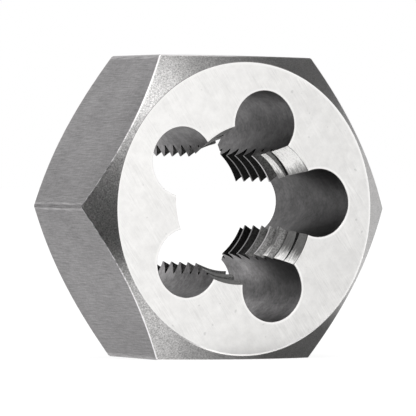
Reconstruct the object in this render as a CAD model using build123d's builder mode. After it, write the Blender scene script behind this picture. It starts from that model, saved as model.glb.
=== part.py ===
from build123d import *
from math import ceil, cos, radians, sin, sqrt, tan
import os

# Hexagonal threading die, one solid of hardened steel.
# The thread axis is Y, the start face looks along -Y and +Z is up. The die
# stands on one of its six flats, with the origin at its centre.
# Angles about the axis are counted from +X towards +Z.

# Hexagonal body
across_flats = 27.0
thickness = 12.7
face_inset = 0.5          # from the middle of a flat in to the turned circle of each end face
bevel_angle = 37.0        # turned bevel at each end, measured from the end face
corner_turn = 0.06        # what the turned outside takes off the six sharp corners
bevel_edge_round = 0.08   # rounding where the bevels meet the flats

# Thread, right-hand
thread_major_d = 13.0
thread_pitch = 1.5
crest_flat = 0.2          # width left flat on top of each tooth
root_flat = 0.12          # width left at the bottom of the V groove
top_root_depth = 0.65     # depth of a groove below the start face, at the top of the bore

# Clearance holes, which part the thread into cutting lands
land_count = 5
hole_d = 6.1
hole_outset = 1.14        # from the thread's major circle out to the centres of the holes
first_hole_angle = 3.7
hole_edge_break = 0.04    # 45 degree break round each hole at both faces

# Lead-ins at both ends, ground with relief behind each cutting edge
start_lead_outset = 0.6   # from the thread's major circle out to the mouth of the lead-in
start_lead_angle = 20.0   # half angle of its cone
start_lead_shift = 0.135  # how far off the thread's axis it is ground
start_lead_shift_angle = 73.0
back_lead_outset = 0.6
back_lead_angle = 31.0
land_relief = 0.6         # sideways shift of the axis that each land's cone is ground about

# Worked out from the sizes above
half_thickness = thickness / 2
hex_r = across_flats / 2
corner_r = hex_r / cos(radians(30)) - corner_turn
face_r = hex_r - face_inset
bevel_depth = (corner_r - face_r) * tan(radians(bevel_angle))
major_r = thread_major_d / 2
minor_r = major_r - 5 / 8 * thread_pitch * sqrt(3) / 2
groove_half_width = (thread_pitch - crest_flat) / 2
groove_depth = (groove_half_width - root_flat / 2) * sqrt(3)
hole_r = hole_d / 2
hole_centre_r = major_r + hole_outset
land_pitch = 360 / land_count
cut_margin = thread_pitch / 5   # how far a cutter starts clear of the surface that it cuts


def comb_outline():
    """Axial section of the thread cutter: V grooves side by side, at their true depth."""
    first_groove = top_root_depth - half_thickness - 2 * thread_pitch
    groove_count = ceil(thickness / thread_pitch) + 4
    points = []
    for groove in range(groove_count):
        middle = first_groove + groove * thread_pitch
        points += [
            (minor_r, middle - groove_half_width),
            (minor_r + groove_depth, middle - root_flat / 2),
            (minor_r + groove_depth, middle + root_flat / 2),
            (minor_r, middle + groove_half_width),
        ]
    inner_r = minor_r - 2 * cut_margin
    return [(inner_r, points[0][1])] + points + [(inner_r, points[-1][1])]


def lead_in(outset, half_angle, end, relief, centre=(0, 0)):
    """Cutter for the lead-in at one end (-1 start, +1 back), one cone sector for each land.

    Each sector runs from the middle of one clearance hole to the middle of the next, and
    the sign of relief says which way round its axis is shifted from the lead-in's centre,
    given as x and z.
    """
    slope = tan(radians(half_angle))
    mouth_r = major_r + outset
    inner_r = minor_r - 2 * abs(relief)
    outline = [
        (inner_r, end * (half_thickness + cut_margin)),
        (mouth_r + cut_margin * slope, end * (half_thickness + cut_margin)),
        (inner_r, end * (half_thickness - (mouth_r - inner_r) / slope)),
    ]
    with BuildPart() as cutter:
        for land in range(land_count):
            edge_angle = radians(first_hole_angle + (land + 1) * land_pitch)
            middle_angle = edge_angle - radians(land_pitch / 2)
            origin = (centre[0] + relief * sin(middle_angle), 0, centre[1] - relief * cos(middle_angle))
            outward = (cos(edge_angle), 0, sin(edge_angle))
            across = (-sin(edge_angle), 0, cos(edge_angle))
            with BuildSketch(Plane(origin=origin, x_dir=outward, z_dir=across)):
                with BuildLine():
                    Polyline(*outline, close=True)
                make_face()
            revolve(axis=Axis(origin, (0, 1, 0)), revolution_arc=land_pitch)
    return cutter.part


# Thread cutter for one land: the comb follows the helix from one hole to the next
with BuildPart() as comb:
    with BuildLine() as helix:
        Helix(
            pitch=thread_pitch,
            height=thread_pitch / land_count,
            radius=minor_r,
            direction=(0, 1, 0),
        )
    with BuildSketch(Plane(origin=(0, 0, 0), x_dir=(0, 0, 1), z_dir=(-1, 0, 0))):
        with BuildLine():
            Polyline(*comb_outline(), close=True)
        make_face()
    sweep(path=helix.line, is_frenet=True)

# Lead-in cutters; the start one stands a little off the thread's axis
start_centre = (
    start_lead_shift * cos(radians(start_lead_shift_angle)),
    start_lead_shift * sin(radians(start_lead_shift_angle)),
)
start_lead_in = lead_in(start_lead_outset, start_lead_angle, -1, land_relief, start_centre)
back_lead_in = lead_in(back_lead_outset, back_lead_angle, 1, -land_relief)

with BuildPart() as die:
    # hexagonal prism, turned down at the corners and bevelled at both ends
    with BuildSketch(Plane.XZ):
        RegularPolygon(hex_r, side_count=6, major_radius=False)
    extrude(amount=half_thickness, both=True)
    with BuildSketch(Plane.XY):
        with BuildLine():
            Polyline(
                (0, -half_thickness),
                (face_r, -half_thickness),
                (corner_r, -half_thickness + bevel_depth),
                (corner_r, half_thickness - bevel_depth),
                (face_r, half_thickness),
                (0, half_thickness),
                close=True,
            )
        make_face()
    revolve(axis=Axis.Y, mode=Mode.INTERSECT)
    fillet(die.edges().filter_by(GeomType.HYPERBOLA), bevel_edge_round)

    # bore, under size until the combs cut it, and the clearance holes
    with BuildSketch(Plane.XZ):
        Circle(minor_r - cut_margin)
        with PolarLocations(hole_centre_r, land_count, start_angle=first_hole_angle):
            Circle(hole_r)
    extrude(amount=half_thickness, both=True, mode=Mode.SUBTRACT)

    # thread: the comb is turned to each land and advanced by the same share of a turn
    for land in range(land_count):
        turn = (90 - first_hole_angle - (land + 1) * land_pitch) % 360
        with Locations((0, thread_pitch * turn / 360, 0)):
            add(comb.part, rotation=(0, turn, 0), mode=Mode.SUBTRACT)

    add(start_lead_in, mode=Mode.SUBTRACT)
    add(back_lead_in, mode=Mode.SUBTRACT)

    # edge break round the clearance holes at the start face, then at the back face
    for offset, inward in ((half_thickness, -1), (-half_thickness, 1)):
        with BuildSketch(Plane.XZ.offset(offset)):
            with PolarLocations(hole_centre_r, land_count, start_angle=first_hole_angle):
                Circle(hole_r + hole_edge_break)
        extrude(amount=inward * 2 * hole_edge_break, taper=45, mode=Mode.SUBTRACT)

die.part.label = "threading_die"

os.makedirs("parts", exist_ok=True)
export_step(die.part, "parts/threading_die.step")
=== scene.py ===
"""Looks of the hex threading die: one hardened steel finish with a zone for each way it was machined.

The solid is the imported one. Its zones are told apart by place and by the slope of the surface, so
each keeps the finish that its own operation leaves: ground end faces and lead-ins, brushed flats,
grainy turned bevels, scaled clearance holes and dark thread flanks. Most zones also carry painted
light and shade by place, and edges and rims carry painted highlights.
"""

import math

import bpy
from mathutils import Matrix, Vector


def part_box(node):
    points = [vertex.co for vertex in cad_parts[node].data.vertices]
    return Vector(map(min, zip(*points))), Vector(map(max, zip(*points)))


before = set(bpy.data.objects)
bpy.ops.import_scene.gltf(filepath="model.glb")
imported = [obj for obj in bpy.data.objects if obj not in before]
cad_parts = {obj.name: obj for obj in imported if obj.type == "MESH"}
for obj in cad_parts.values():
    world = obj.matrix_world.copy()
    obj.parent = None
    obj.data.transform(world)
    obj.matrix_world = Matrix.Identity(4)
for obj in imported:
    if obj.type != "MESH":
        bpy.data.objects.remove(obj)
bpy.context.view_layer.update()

# The die, and the level that it stands on, in metres
DIE = "threading_die"
floor_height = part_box(DIE)[0].z

MM = 0.001                  # a millimetre, in metres

# Sizes of the machined zones, in millimetres and degrees
FIRST_HOLE_ANGLE = 3.7
HOLE_SPACING = 72.0
HOLE_CENTRE_RADIUS = 7.64
HOLE_RADIUS = 3.05
BORE_RADIUS = 7.5           # outside every lead-in
ROOT_RADIUS = 6.71          # bottom of the thread's grooves
HALF_THICKNESS = 6.35
HALF_ACROSS_FLATS = 13.5
HALF_SIDE_ANGLE = 30.0      # half of what each flat spans about the axis
OUTSIDE_RADIUS = 12.9       # just inside the rim of the end faces
FACE_RADIUS = 13.0          # rim of the end faces
TURNING_CENTRE = (0.04, 0.0, -0.10)     # what that rim was turned about
TURNED_RADIUS = 13.04       # where the bevels' finish starts about it
BEVEL_RISE = 0.754          # how far the bevel falls back for each millimetre outwards
CORNER_RADIUS = 15.5        # just inside the turned corners

# Slope of each surface: the share of its normal that points along the axis
WALL_SLOPE = 0.2
LEAD_IN_SLOPES = (0.3, 0.6)
HOLE_EDGE_SLOPES = (0.6, 0.79)
BEVEL_SLOPE = 0.79
END_FACE_SLOPE = 0.97

# Directions of the tool marks
ALONG_AXIS = (0.0, 1.0, 0.0)
FACE_GRINDING = (0.63, 0.0, -0.777)
FACE_CROSS_GRINDING = (0.50, 0.0, -0.866)

# Colour of the steel where it is dark and where it is bright, as shares of its red
DARK_GREEN = 0.974
DARK_BLUE = 0.986
BRIGHT_GREEN = 0.990
BRIGHT_BLUE = 0.975

# Coarsely ground lead-ins, the strip under the rim and the left holes' inner edges scatter light almost
# as paper does; the strip under the rim is partly a painted rim highlight
SCATTERING_METALLIC = 0.2

# Cards that the die reflects, in metres
CARD_DISTANCE = 0.8         # from the die to the far ones
CARD_STEPS = 10             # flat strips that make up a curved one
CARD_HEIGHT = floor_height + 0.05 * MM      # level of those that lie on the floor
BLACK = 0.03                # tone of the black ones


class Graph:
    """Adds nodes to one node tree, so that a pattern reads as nested calls."""

    def __init__(self, tree):
        self.tree = tree
        tree.nodes.clear()

    def node(self, kind, inputs=(), **settings):
        """A new node with its settings, and with a value or a link for each input by place or name."""
        made = self.tree.nodes.new(kind)
        for name, value in settings.items():
            setattr(made, name, value)
        pairs = inputs.items() if isinstance(inputs, dict) else enumerate(inputs)
        for key, value in pairs:
            if isinstance(value, bpy.types.NodeSocket):
                self.tree.links.new(value, made.inputs[key])
            else:
                made.inputs[key].default_value = value
        return made

    def math(self, operation, *values):
        return self.node("ShaderNodeMath", values, operation=operation).outputs[0]

    def vector(self, operation, *values):
        return self.node("ShaderNodeVectorMath", values, operation=operation).outputs[0]

    def dot(self, first, second):
        made = self.node("ShaderNodeVectorMath", (first, second), operation="DOT_PRODUCT")
        return made.outputs["Value"]

    def scaled(self, vector, factor):
        made = self.node("ShaderNodeVectorMath", {0: vector, "Scale": factor}, operation="SCALE")
        return made.outputs[0]

    def triple(self, *values):
        return self.node("ShaderNodeCombineXYZ", values).outputs[0]

    def in_turn(self, operation, values):
        """The first value and the second taken together, then the third with that, and so on."""
        result = values[0]
        for value in values[1:]:
            result = self.math(operation, result, value)
        return result

    def product(self, *values):
        return self.in_turn("MULTIPLY", values)

    def total(self, *values):
        return self.in_turn("ADD", values)

    def length(self, first, second):
        """Length of a line with these two components at right angles."""
        return self.math("SQRT", self.total(self.product(first, first), self.product(second, second)))

    def noise(self, place, scale=1.0, detail=2.0, roughness=0.5):
        """Noise from 0 to 1 about a middle of 0.5, finer for a greater scale."""
        inputs = {"Vector": place, "Scale": scale, "Detail": detail, "Roughness": roughness}
        return self.node("ShaderNodeTexNoise", inputs).outputs[0]

    def ramp(self, value, low, high, to_low=0.0, to_high=1.0):
        """value taken smoothly from low..high to to_low..to_high, and held beyond."""
        made = self.node("ShaderNodeMapRange", (value, low, high, to_low, to_high),
                         interpolation_type="SMOOTHSTEP")
        return made.outputs[0]

    def between(self, value, low, high):
        """1 where value lies between low and high, 0 elsewhere."""
        return self.product(self.math("GREATER_THAN", value, low), self.math("LESS_THAN", value, high))

    def blend(self, factor, first, second):
        """A number between first, at factor 0, and second, at factor 1."""
        made = self.node("ShaderNodeMix", {"Factor": factor, "A": first, "B": second})
        return made.outputs[0]

    def around(self, pattern, middle, swing):
        """pattern, a noise from 0 to 1, moved to middle and stretched to swing each way."""
        return self.math("MULTIPLY_ADD", pattern, 2 * swing, middle - swing)


class Place:
    """Where a point of the die lies, in millimetres, and how its surface slopes.

    rise is the distance above or below the axis, endward the distance from the middle towards
    either end face, and upper and lower are 1 above and below the axis and 0 on the other side.
    """

    def __init__(self, g):
        coordinates = g.node("ShaderNodeTexCoord")
        self.point = g.scaled(coordinates.outputs["Object"], 1 / MM)
        point = g.node("ShaderNodeSeparateXYZ", (self.point,))
        self.x, self.y, self.z = point.outputs
        self.rise = g.math("ABSOLUTE", self.z)
        self.endward = g.math("ABSOLUTE", self.y)
        self.upper = g.math("GREATER_THAN", self.z, 0.0)
        self.lower = g.math("LESS_THAN", self.z, 0.0)
        self.radius = g.length(self.x, self.z)
        self.angle = g.math("DEGREES", g.math("ARCTAN2", self.z, self.x))
        normal = g.node("ShaderNodeSeparateXYZ", (coordinates.outputs["Normal"],))
        self.slope = g.math("ABSOLUTE", normal.outputs[1])
        from_turning = g.vector("SUBTRACT", g.triple(self.x, 0.0, self.z), TURNING_CENTRE)
        self.turned_radius = g.math("SQRT", g.dot(from_turning, from_turning))
        self.under_rim = g.product(g.math("LESS_THAN", self.turned_radius, TURNED_RADIUS),
                                   g.ramp(self.x, -7.0, -3.0))
        self.hole_distance = self.from_hole(g)
        self.edge_distance = self.from_edge(g)

    def folded(self, g, first_angle, half_spacing):
        """Angle, in radians, from the nearest of the spokes that start at first_angle."""
        turned = g.math("SUBTRACT", self.angle, first_angle)
        return g.math("RADIANS", g.math("WRAP", turned, half_spacing, -half_spacing))

    def from_hole(self, g):
        """Distance from the axis of the nearest clearance hole."""
        angle = self.folded(g, FIRST_HOLE_ANGLE, HOLE_SPACING / 2)
        across = g.product(self.radius, g.math("SINE", angle))
        along = g.math("MULTIPLY_ADD", self.radius, g.math("COSINE", angle), -HOLE_CENTRE_RADIUS)
        return g.length(across, along)

    def from_edge(self, g):
        """Distance from the edge between the flats and the bevels, for a point on either."""
        angle = self.folded(g, HALF_SIDE_ANGLE, HALF_SIDE_ANGLE)
        outward = g.product(self.radius, g.math("COSINE", angle))
        from_flat = g.math("SUBTRACT", HALF_ACROSS_FLATS, outward)
        from_end = g.math("SUBTRACT", HALF_THICKNESS, self.endward)
        fall = g.math("MULTIPLY_ADD", self.radius, BEVEL_RISE, -FACE_RADIUS * BEVEL_RISE)
        return g.math("MAXIMUM", from_flat, g.math("SUBTRACT", from_end, fall))

    def strokes(self, g, direction, length, width):
        """A place whose noise comes out as strokes of that length and width along a direction."""
        along = g.scaled(g.triple(*direction), g.dot(self.point, direction))
        stretch = g.scaled(along, 1 / length - 1 / width)
        return g.vector("ADD", g.scaled(self.point, 1 / width), stretch)

    def rings(self, g, arc, width):
        """A place whose noise comes out as strokes round the axis, arc degrees long."""
        return g.triple(g.math("DIVIDE", self.radius, width), g.math("DIVIDE", self.y, width),
                        g.math("DIVIDE", self.angle, arc))


# Finishes, each its tone from 0 to 1, its roughness and its bump's height, by places in millimetres

def ground_face(g, place):
    """Near-white ground steel: faint clouds and slanting lines, darker to the right and round the bore on
    the left, with a painted highlight along its rim and round the holes.
    """
    lines = g.noise(place.strokes(g, FACE_GRINDING, length=2.6, width=0.13), detail=3.0, roughness=0.65)
    fine = g.noise(place.strokes(g, FACE_CROSS_GRINDING, length=1.8, width=0.10), roughness=0.6)
    wide = g.noise(place.strokes(g, FACE_GRINDING, length=4.0, width=1.5), detail=3.0)
    patches = g.ramp(wide, 0.35, 0.65)
    scratches = g.product(patches, g.total(g.around(lines, 0.0, 0.14), g.around(fine, 0.0, 0.11)))
    clouds = g.around(g.noise(place.point, detail=5.0, roughness=0.72), 0.0, 0.15)
    pits = g.ramp(g.noise(place.point, 1.6, detail=1.0), 0.72, 0.78, 0.0, -0.14)
    darker_round_left_bore = g.product(g.ramp(place.radius, 8.0, 11.5, -0.045, 0.0), g.ramp(place.x, -7.0, -3.0, 1.0, 0.0))
    rightward = g.ramp(place.x, -11.0, 12.0, 0.935, 0.795)
    upward = g.ramp(place.z, -11.0, 6.0, -0.05, 0.02)
    tone = g.total(rightward, upward, clouds, scratches, darker_round_left_bore, pits)

    # Painted highlight along the rim, weaker at the bottom, and round the holes.
    by_rim = g.product(g.ramp(place.turned_radius, TURNED_RADIUS - 0.30, TURNED_RADIUS - 0.05),
                       g.ramp(place.z, -11.0, -5.0, 0.4, 1.0))
    by_hole = g.ramp(place.hole_distance, HOLE_RADIUS + 0.05, HOLE_RADIUS + 0.30, 1.0, 0.0)
    tone = g.math("MINIMUM", g.blend(g.math("MAXIMUM", by_rim, by_hole), tone, 1.0), 1.0)
    past_rim = g.math("GREATER_THAN", place.turned_radius, TURNED_RADIUS)
    tone = g.blend(past_rim, tone, 0.30)
    return tone, g.around(lines, 0.32, 0.06), g.product(g.total(lines, fine), 0.0008)


def brushed_flat(g, place):
    """Mid grey drawn flats, with fine lines along the axis and a burr beside each turned corner."""
    lines = g.noise(place.strokes(g, ALONG_AXIS, length=1.5, width=0.085), detail=3.0, roughness=0.65)
    clouds = g.noise(place.point, 0.22, detail=3.0)
    specks = g.noise(place.point, 4.5, detail=3.0, roughness=0.7)
    # Painted shade: the upper flats darker towards the front end, the lower ones a little darker all over.
    shade = g.blend(place.upper, 0.96, g.ramp(place.y, -6.0, -1.0, 0.88, 1.0))
    level = g.product(g.ramp(place.rise, 0.0, 7.0, 0.246, 0.268), shade)
    corner = g.math("GREATER_THAN", place.radius, CORNER_RADIUS)
    turned = g.product(corner, g.ramp(place.rise, 3.0, 10.0, -0.04, 0.12))
    by_corner = g.between(place.radius, CORNER_RADIUS - 0.10, CORNER_RADIUS)
    burr = g.product(by_corner, g.around(lines, 0.09, 0.25))
    tone = g.total(level, g.around(clouds, 0.0, 0.05), g.around(lines, 0.0, 0.20),
                   g.around(specks, 0.0, 0.09), turned, burr)
    return tone, g.around(lines, 0.40, 0.08), g.product(lines, 0.0030)


def grainy_bevel(g, place):
    """Turned bevels under a blasted grain, deeper to the left, with painted light and shade by place."""
    grain = g.noise(place.point, 7.5, detail=3.0, roughness=0.75)
    coarse = g.noise(place.point, 1.4)
    depth = g.ramp(place.x, -8.0, 4.0, 1.45, 0.75)
    shadow = g.math("MULTIPLY_ADD", g.math("SUBTRACT", grain, 0.5), g.product(depth, 2.0), 1.0)
    # Painted light and shade by place: darker nearer the side corners, and darkest from just right of the
    # left corner to the middle.
    rising = g.blend(place.upper, g.ramp(place.rise, 2.0, 5.0, 0.96, 1.12),
                     g.ramp(place.rise, 7.0, 9.0, 0.93, 1.15))
    leftward = g.ramp(place.x, -8.0, -4.5, 1.0, 0.78)
    rightward = g.ramp(place.x, -2.5, 1.5, 1.0, g.blend(place.upper, 1.2, 1.32))
    tone = g.product(g.around(coarse, 0.46, 0.06), shadow, rising, leftward, rightward)
    # A near-white strip under the rim: partly the off-centre face's edge, partly a painted rim highlight.
    tone = g.blend(place.under_rim, tone, 1.0)
    return tone, g.around(grain, 0.34, 0.06), g.product(grain, depth, 0.0135)


def scaled_hole(g, place):
    """Dark heat-treatment scale on the walls of the clearance holes, with painted light and shade: lighter
    towards the left and the back end, and in patches of single holes.
    """
    clouds = g.noise(place.strokes(g, ALONG_AXIS, length=2.6, width=1.3), detail=3.0, roughness=0.6)
    stains = g.ramp(g.noise(place.point, 0.9, detail=3.0, roughness=0.6), 0.42, 0.62)
    specks = g.noise(place.point, 4.0)
    # The scale's dark tone, with painted light: lighter towards the left and towards the back end.
    scale_tone_and_painted_light = g.product(g.ramp(place.x, -9.0, 10.5, 0.235, 0.085), g.ramp(place.y, -6.0, 6.0, 0.85, 1.35))

    # Painted light and shade in single holes: lighter at the front of the upper hole and at the bottom of
    # the lower right one, lighter and darker along the land of the lower right one, and the lower left one
    # lighter at its top and darker at its bottom
    upper = g.product(g.ramp(place.z, 5.5, 7.0), g.ramp(place.y, -5.0, 0.0, 0.30, 0.0))
    lower_right = g.product(g.ramp(place.z, -9.2, -7.5, 1.0, 0.0), g.ramp(place.x, 1.0, 4.0, 0.1, 0.8))
    lower_left = g.ramp(place.z, -7.8, -5.0, -0.22, 0.40)
    lower = g.blend(g.math("LESS_THAN", place.x, -1.0), lower_right, lower_left)
    by_land = g.product(g.ramp(place.z, -7.1, -6.0), g.ramp(place.z, -4.0, -3.0, 1.0, 0.0),
                        g.ramp(place.x, 2.0, 3.0))
    along = g.total(g.ramp(place.y, -3.6, 2.4, -0.45, 1.25), g.ramp(place.y, 2.5, 5.0, 0.0, -0.8))
    patches = g.total(upper, g.product(lower, place.lower), g.product(by_land, along))

    mottling = g.total(g.around(clouds, 1.0, 0.75), g.around(stains, 0.0, 0.15), g.around(specks, 0.0, 0.45))
    tone = g.product(scale_tone_and_painted_light, g.total(patches, 1.0), mottling)
    return tone, g.around(clouds, 0.46, 0.12), g.product(specks, 0.0060)


def thread_flank(g, place):
    """Black thread flanks, with painted light greyer towards the start and on the left lands, and painted
    shade along the groove bottoms.
    """
    specks = g.noise(place.point, 6.0, detail=3.0, roughness=0.7)
    # Painted light falling off into the bore, sooner on the upper lands.
    reach = g.total(place.y, g.ramp(place.z, -2.0, 2.0, 0.0, 2.2))
    ground = g.ramp(reach, -2.0, 1.9, g.ramp(place.z, -2.5, 3.0, 0.24, 0.143),
                    g.ramp(place.z, -2.5, 3.0, 0.008, 0.014))
    # Painted shade along the bottoms of the grooves.
    root = g.ramp(place.radius, ROOT_RADIUS - 0.36, ROOT_RADIUS - 0.20, 1.0, 0.08)
    # Painted light on the left lands' flanks, growing deeper in.
    by_depth = g.blend(place.upper, g.ramp(place.y, 0.0, 2.4, 1.5, 20.0),
                       g.ramp(place.y, -1.5, 0.8, 1.5, 14.0))
    paler = g.blend(g.ramp(place.x, -3.0, 1.0, 1.0, 0.0), 1.0, by_depth)
    tone = g.product(ground, root, paler, g.around(specks, 1.0, 1.6))
    return tone, g.around(specks, 0.40, 0.06), g.product(specks, 0.010)


def thread_crest(g, place):
    """The narrow crests, brighter than the flanks, most towards the start."""
    wear = g.noise(place.point, 2.5)
    deep_tone = g.ramp(place.z, -2.0, 2.0, 0.20, 0.14)
    tone = g.total(g.ramp(place.y, -3.5, 0.0, 0.85, deep_tone), g.around(wear, 0.0, 0.08))
    return tone, g.around(wear, 0.34, 0.05), g.product(wear, 0.002)


def ground_lead_in(g, place):
    """Lead-ins with grinding lines round each land, and painted light and shade by place."""
    lines = g.noise(place.rings(g, arc=12.0, width=0.12), detail=3.0, roughness=0.6)
    ragged = g.noise(place.rings(g, arc=8.0, width=0.14))
    specks = g.noise(place.point, 6.0, roughness=0.7)
    # Painted light and shade: bright where the right lands lie furthest above and below the axis, dim on the
    # left lands, with a painted highlight at the left end of the bottom land.
    outward = g.ramp(place.endward, 4.4, 6.3, 0.15, -0.40)
    ragged_rise = g.total(place.rise, outward, g.around(ragged, 0.0, 0.7))
    ragged_x = g.total(place.x, g.around(ragged, 0.0, 1.4))
    upper = g.product(g.ramp(ragged_rise, 2.9, 4.2, 0.22, 1.0), g.ramp(ragged_x, 2.8, 4.6, 0.55, 1.0))
    lower = g.ramp(ragged_rise, 3.4, 4.9, 0.12, 1.0)
    painted_light = g.blend(place.upper, lower, upper)
    left_painted_shade = g.blend(place.upper, 0.20, 0.38)
    painted_highlight_left_end = g.product(g.ramp(place.x, -2.7, -2.0, 0.9, 0.0), place.lower, g.ramp(place.y, -4.1, -3.7))
    side = g.math("MAXIMUM", g.ramp(place.x, 0.5, 3.0, left_painted_shade, 1.0), painted_highlight_left_end)
    mouth = g.ramp(place.endward, HALF_THICKNESS - 0.16, HALF_THICKNESS - 0.06)
    burr = g.product(mouth, g.around(ragged, 0.50, 0.60))
    streaks = g.math("SUBTRACT", g.around(lines, 0.98, 0.50), burr)
    tone = g.math("MINIMUM", g.product(painted_light, side, streaks, g.around(specks, 1.0, 0.55)), 1.0)
    return tone, g.around(lines, 0.50, 0.10), g.product(lines, 0.0060)


def polished_edge_and_highlight(g, place):
    """Broken edges, worn brighter than the faces beside them, with a painted highlight brightest towards the
    top and bottom and least by the side corners.
    """
    wear = g.noise(place.point, 2.5)
    outside = g.math("GREATER_THAN", place.radius, OUTSIDE_RADIUS)
    # Painted highlight: the edges brightest towards the top and bottom, least by the side corners, and the
    # holes' edges lighter towards the left.
    by_hole = g.ramp(place.x, -5.0, -1.0, 0.90, 0.80)
    wear_and_highlight = g.blend(outside, by_hole, g.ramp(place.rise, 2.0, 8.5, 0.42, 0.98))
    nicks = g.ramp(g.noise(place.point, 2.0, detail=3.0, roughness=0.7), 0.42, 0.58, 0.40, 1.20)
    nicked = g.product(outside, g.ramp(place.rise, 5.0, 8.5, 1.0, 0.0))
    tone = g.product(wear_and_highlight, g.blend(nicked, 1.0, nicks), g.around(wear, 1.0, 0.20))
    return tone, g.around(wear, 0.30, 0.05), g.product(wear, 0.002)


def worn_edge_and_highlight(g, place):
    """Mask of the line where flats and bevels meet, partly wear and partly a painted highlight: wide away
    from the side corners and widest above, nicked by them.
    """
    nicks = g.math("SUBTRACT", g.noise(place.point, 1.6, detail=3.0, roughness=0.65), 0.5)
    ragged = g.product(nicks, g.ramp(place.rise, 4.0, 7.5, 0.45, 0.12))
    widest = g.blend(place.upper, 0.10, 0.13)
    width = g.math("MAXIMUM", g.total(g.ramp(place.rise, 2.0, 9.0, 0.06, widest), ragged), 0.01)
    return g.ramp(g.math("DIVIDE", place.edge_distance, width), 0.3, 1.0, 1.0, 0.0)


def scattering_zones(g, place, lead_in, outer_slopes, inside):
    """Mask of what scatters light: lead-ins, the strip under the rim, partly a painted rim highlight, and
    the left holes' inner edges.
    """
    # The strip under the rim: partly the off-centre face's edge, partly a painted rim highlight.
    burr = g.product(outer_slopes, place.under_rim)
    hole_edge = g.product(inside, g.between(place.slope, *HOLE_EDGE_SLOPES),
                          g.ramp(place.x, -5.0, -1.0, 1.0, 0.0), g.ramp(place.rise, 4.5, 5.5, 1.0, 0.0))
    return g.math("MAXIMUM", lead_in, g.math("MAXIMUM", hole_edge, burr))


def layered(g, base, layers):
    """base with each layer's tone, roughness and height laid over it where its mask is 1."""
    values = list(base)
    for mask, layer in layers:
        values = [g.blend(mask, below, above) for below, above in zip(values, layer)]
    return values


def hardened_steel(material):
    """The whole die's steel, zone by zone."""
    material.use_nodes = True
    g = Graph(material.node_tree)
    place = Place(g)
    outside = g.math("GREATER_THAN", place.radius, OUTSIDE_RADIUS)
    inside = g.math("SUBTRACT", 1.0, outside)
    bore = g.math("LESS_THAN", place.radius, BORE_RADIUS)
    upright = g.math("LESS_THAN", place.slope, WALL_SLOPE)
    off_hole = g.between(place.hole_distance, HOLE_RADIUS + 0.03, HOLE_CENTRE_RADIUS)
    face = g.math("GREATER_THAN", place.slope, END_FACE_SLOPE)
    outer_slopes = g.product(outside, g.math("SUBTRACT", 1.0, face))
    bevel = g.product(outside, g.math("GREATER_THAN", place.slope, BEVEL_SLOPE))
    flank = g.product(bore, g.between(place.slope, BEVEL_SLOPE, END_FACE_SLOPE))
    lead_in = g.product(bore, g.between(place.slope, *LEAD_IN_SLOPES))
    edge = polished_edge_and_highlight(g, place)
    tone, roughness, height = layered(g, edge, (
        (g.product(outside, upright), brushed_flat(g, place)),
        (bevel, grainy_bevel(g, place)),
        (g.product(inside, upright), scaled_hole(g, place)),
        (g.product(inside, upright, off_hole), thread_crest(g, place)),
        (flank, thread_flank(g, place)),
        (lead_in, ground_lead_in(g, place)),
        (face, ground_face(g, place)),
        (g.product(outer_slopes, worn_edge_and_highlight(g, place)), edge),
    ))

    scattering = scattering_zones(g, place, lead_in, outer_slopes, inside)
    bright = g.math("MAXIMUM", g.ramp(place.slope, 0.5, END_FACE_SLOPE), scattering)
    green = g.product(tone, g.blend(bright, DARK_GREEN, BRIGHT_GREEN))
    blue = g.product(tone, g.blend(bright, DARK_BLUE, BRIGHT_BLUE))
    bump = g.node("ShaderNodeBump", {"Height": height, "Distance": MM, "Strength": 1.0})
    shader = g.node("ShaderNodeBsdfPrincipled", {
        "Base Color": g.triple(tone, green, blue),
        "Metallic": g.blend(scattering, 1.0, SCATTERING_METALLIC),
        "Roughness": roughness,
        "Normal": bump.outputs[0],
    })
    g.node("ShaderNodeOutputMaterial", (shader.outputs[0],))


def seen_as_background(g):
    """1 for rays that see the background itself: from the camera, a reflection or through glass."""
    path = g.node("ShaderNodeLightPath")
    rays = [path.outputs[kind] for kind in ("Is Camera Ray", "Is Glossy Ray", "Is Transmission Ray")]
    return g.math("MINIMUM", g.total(*rays), 1.0)


def studio_world():
    """A white background, which lights the object a little less than it shows."""
    world = bpy.data.worlds.new("studio")
    bpy.context.scene.world = world
    world.use_nodes = True
    g = Graph(world.node_tree)
    strength = g.blend(seen_as_background(g), 0.7, 1.0)
    background = g.node("ShaderNodeBackground", {"Color": (1.0, 1.0, 1.0, 1.0), "Strength": strength})
    g.node("ShaderNodeOutputWorld", (background.outputs[0],))


def plain_object(name, corners, faces, material):
    """A new object in the scene, of plain faces in one material."""
    mesh = bpy.data.meshes.new(name)
    mesh.from_pydata(corners, [], faces)
    mesh.materials.append(material)
    thing = bpy.data.objects.new(name, mesh)
    bpy.context.scene.collection.objects.link(thing)
    return thing


def level_rectangle(left, right, front, back, height):
    """Corners and the one face of a rectangle that lies level at a height."""
    corners = [(left, front, height), (right, front, height), (right, back, height), (left, back, height)]
    return corners, [(0, 1, 2, 3)]


def studio_floor():
    """A wide white floor, seen near white by its own glow, that keeps the shadow of the die."""
    material = bpy.data.materials.new("floor")
    material.use_nodes = True
    g = Graph(material.node_tree)
    paper = g.node("ShaderNodeBsdfDiffuse", {"Color": (0.8, 0.8, 0.8, 1.0)})
    lit_paper = g.node("ShaderNodeBsdfDiffuse", {"Color": (0.3, 0.3, 0.3, 1.0)})
    glow = g.node("ShaderNodeEmission", {"Color": (1.0, 1.0, 1.0, 1.0), "Strength": 0.85})
    shown = g.node("ShaderNodeAddShader", (lit_paper.outputs[0], glow.outputs[0]))
    mixed = g.node("ShaderNodeMixShader", (seen_as_background(g), paper.outputs[0], shown.outputs[0]))
    g.node("ShaderNodeOutputMaterial", (mixed.outputs[0],))
    half_width = 3.0
    corners, faces = level_rectangle(-half_width, half_width, -half_width, half_width, floor_height)
    plain_object("floor", corners, faces, material)


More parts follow.
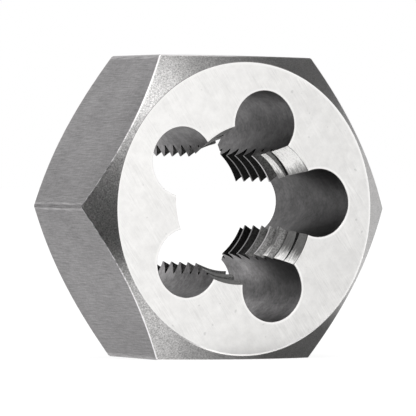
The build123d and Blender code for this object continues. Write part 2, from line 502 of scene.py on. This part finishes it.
def dark_card(name, corners, faces, tone=BLACK, cover=None):
    """A card that only reflections see; cover, made from its graph, fades it out."""
    material = bpy.data.materials.new(name)
    material.use_nodes = True
    g = Graph(material.node_tree)
    surface = g.node("ShaderNodeBsdfDiffuse", {"Color": (tone, tone, tone, 1.0)}).outputs[0]
    if cover:
        clear = g.node("ShaderNodeBsdfTransparent").outputs[0]
        surface = g.node("ShaderNodeMixShader", (cover(g), clear, surface)).outputs[0]
    g.node("ShaderNodeOutputMaterial", (surface,))
    card = plain_object(name, corners, faces, material)
    card.visible_camera = False
    card.visible_diffuse = False
    card.visible_shadow = False


def stepped(angles):
    """The angles, in radians, from the first to the second given in degrees, in even steps."""
    start, end = angles
    return [math.radians(start + (end - start) * step / CARD_STEPS) for step in range(CARD_STEPS + 1)]


def dark_dome_card(name, azimuths, elevations, tone):
    """A dark card on a sphere about the die; azimuths are degrees from the front, towards +X."""
    corners = []
    for azimuth in stepped(azimuths):
        for elevation in stepped(elevations):
            level = CARD_DISTANCE * math.cos(elevation)
            corners.append((level * math.sin(azimuth), -level * math.cos(azimuth),
                            CARD_DISTANCE * math.sin(elevation)))
    row = CARD_STEPS + 1
    faces = []
    for strip in range(CARD_STEPS):
        for step in range(CARD_STEPS):
            corner = row * strip + step
            faces.append((corner, corner + 1, corner + row + 1, corner + row))
    dark_card(name, corners, faces, tone)


def dark_floor_card(name, centre, azimuths, distances):
    """A black card on the floor in front of the die, between two distances from a centre."""
    corners = []
    for azimuth in stepped(azimuths):
        for distance in distances:
            corners.append((centre[0] + distance * math.sin(azimuth),
                            centre[1] - distance * math.cos(azimuth), CARD_HEIGHT))
    faces = [(2 * step, 2 * step + 1, 2 * step + 3, 2 * step + 2) for step in range(CARD_STEPS)]
    dark_card(name, corners, faces)


def contact_shade():
    """The dark of the floor close under the die's right side, as its bevels reflect it."""
    corners, faces = level_rectangle(left=-9 * MM, right=36 * MM, front=-12 * MM, back=12 * MM,
                                     height=CARD_HEIGHT)

    def cover(g):
        place = g.node("ShaderNodeSeparateXYZ", (g.node("ShaderNodeTexCoord").outputs["Object"],))
        x = place.outputs[0]
        under_die = g.ramp(x, -8.5 * MM, 3.5 * MM, 0.05, 0.85)
        fading_out = g.ramp(x, 13 * MM, 34 * MM, 1.0, 0.0)
        return g.product(under_die, fading_out)

    dark_card("contact_shade", corners, faces, cover=cover)


def softbox(name, direction, distance, width, height, radiance, glossy=True):
    """A soft rectangular lamp that stands in a direction from the die and faces it."""
    lamp = bpy.data.lights.new(name, "AREA")
    lamp.shape = "RECTANGLE"
    lamp.size = width
    lamp.size_y = height
    lamp.energy = radiance * math.pi * width * height
    thing = bpy.data.objects.new(name, lamp)
    outward = Vector(direction).normalized()
    thing.location = outward * distance
    thing.rotation_euler = outward.to_track_quat("Z", "Y").to_euler()
    thing.visible_camera = False
    thing.visible_glossy = glossy
    bpy.context.scene.collection.objects.link(thing)


def photo_camera():
    """The photograph's viewpoint: left of the die's front and just above its middle."""
    azimuth = math.radians(-30.03)
    elevation = math.radians(0.459)
    roll = math.radians(-0.583)
    distance = 0.4092
    image_right, image_up = 0.000169, 0.0000761   # how far the die's centre stands off the image's
    back = Vector((math.sin(azimuth) * math.cos(elevation),
                   -math.cos(azimuth) * math.cos(elevation),
                   math.sin(elevation)))
    right = Vector((math.cos(azimuth), math.sin(azimuth), 0.0))
    up = back.cross(right)
    across = right * math.cos(roll) - up * math.sin(roll)
    upward = right * math.sin(roll) + up * math.cos(roll)
    place = back * distance - across * image_right - upward * image_up
    turn = Matrix((across, upward, back)).transposed().to_4x4()
    data = bpy.data.cameras.new("camera")
    data.sensor_width = 36.0
    data.lens = 393.58
    data.clip_start = 0.01
    data.clip_end = 20.0
    camera = bpy.data.objects.new("camera", data)
    camera.matrix_world = Matrix.Translation(place) @ turn
    bpy.context.scene.collection.objects.link(camera)
    bpy.context.scene.camera = camera


bpy.context.scene.view_settings.view_transform = "Standard"
photo_camera()
studio_world()
studio_floor()
dark_dome_card("card_left", azimuths=(-85.0, -14.0), elevations=(-1.0, 24.5), tone=BLACK)
dark_dome_card("card_upper_right", azimuths=(6.0, 150.0), elevations=(17.0, 63.0), tone=0.19)
dark_floor_card("card_floor", centre=(-13.5 * MM, -6.0 * MM), azimuths=(-85.0, -14.0),
                distances=(12 * MM, CARD_DISTANCE))
contact_shade()
softbox("top", (-0.30, -0.60, 0.745), distance=0.60, width=0.22, height=0.22, radiance=2.1)
softbox("fill", (-0.26, -0.96, 0.10), distance=0.60, width=0.15, height=0.15, radiance=4.0)
softbox("bounce", (-0.60, -0.75, -0.05), distance=0.30, width=0.20, height=0.06, radiance=44.0, glossy=False)

steel = bpy.data.materials.new("hardened_steel")
hardened_steel(steel)
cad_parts[DIE].material_slots[0].material = steel
